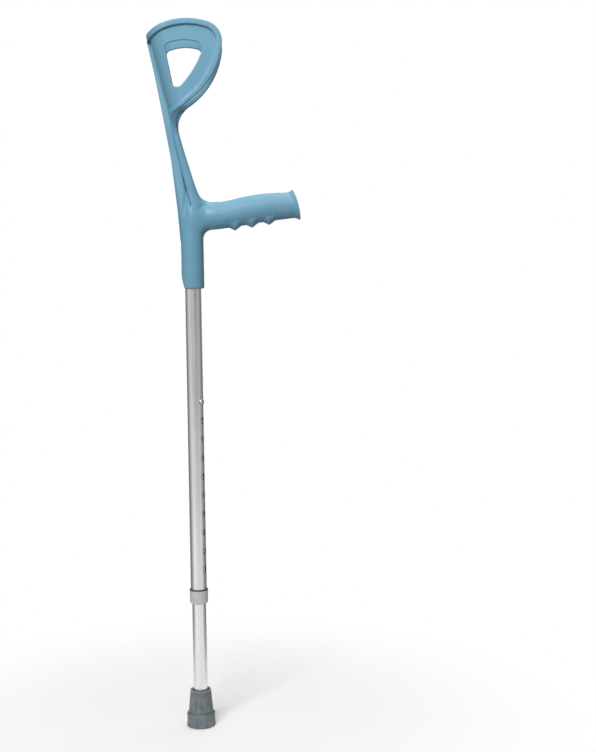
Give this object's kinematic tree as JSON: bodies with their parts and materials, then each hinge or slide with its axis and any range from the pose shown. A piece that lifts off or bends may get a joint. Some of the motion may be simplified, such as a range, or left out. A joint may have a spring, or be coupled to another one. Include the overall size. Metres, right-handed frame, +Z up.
{
  "type": "forearm crutch",
  "caption": "Forearm crutch with an open moulded cuff and handgrip in one piece, on a telescoping aluminium tube set by a snap button, with a rubber ferrule.",
  "frame": {"origin": "middle of the ferrule's flat foot, on the tube axis", "axes": "+Z up the tube axis, +X the way the handgrip points, cuff open towards +X"},
  "size_m": [0.2044, 0.0786, 0.9563],
  "materials": {
    "moulding_plastic": "satin, fine grain on the handgrip",
    "upper_aluminium": "drawn, grey anodised",
    "lower_aluminium": "drawn, bright anodised",
    "rivet_aluminium": "plain",
    "collar_plastic": "satin",
    "guide_plastic": "plain",
    "spring_steel": "plain",
    "button_steel": "polished",
    "ferrule_rubber": "matte"
  },
  "bodies": {
    "lower": {"lower_tube": "lower_aluminium", "guide_plug": "guide_plastic", "snap_spring": "spring_steel", "ferrule": "ferrule_rubber", "ferrule_washer": "spring_steel"},
    "upper": {"handle_moulding": "moulding_plastic", "grip_end_plug": "moulding_plastic", "upper_tube": "upper_aluminium", "rivet_body": "rivet_aluminium", "rivet_mandrel": "spring_steel", "anti_rattle_collar": "collar_plastic"},
    "button": {"snap_button": "button_steel"}
  },
  "joints": [
    {"name": "height_adjust", "type": "slide", "parent": "lower", "child": "upper", "axis": [0, 0, 1], "range_m": [0, 0.2286], "deforming": ["snap_button"]},
    {"name": "snap_button_press", "type": "slide", "parent": "lower", "child": "button", "axis": [-0.7986, 0.6018, 0], "range_m": [0, 0.005], "stiffness_N_per_m": 1500, "springref_m": -0.003, "deforming": ["snap_spring"]}
  ]
}
